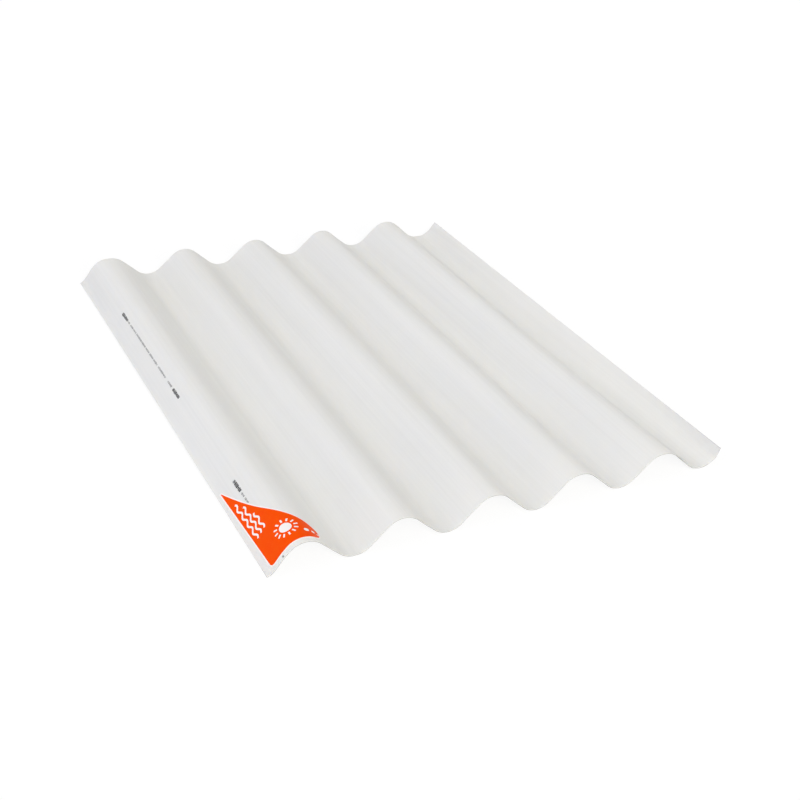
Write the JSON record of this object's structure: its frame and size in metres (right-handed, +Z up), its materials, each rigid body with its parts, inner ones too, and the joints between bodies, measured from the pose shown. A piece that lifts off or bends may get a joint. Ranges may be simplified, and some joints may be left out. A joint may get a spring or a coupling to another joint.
{
  "type": "corrugated pvc sheet",
  "caption": "White translucent corrugated roofing sheet with rounded waves along its length and an orange corner label.",
  "frame": {"origin": "on the floor under the middle of the sheet, as it lies on its valleys", "axes": "+X across the waves, from the labelled edge to the far edge; +Y along the waves, away from the labelled end; +Z up"},
  "size_m": [0.92, 1.22, 0.0523],
  "materials": {
    "pvc_white": "satin, slightly translucent",
    "label_film": "satin printed film"
  },
  "bodies": {
    "root": {"corrugated_sheet": "pvc_white", "corner_label": "label_film"}
  },
  "joints": []
}
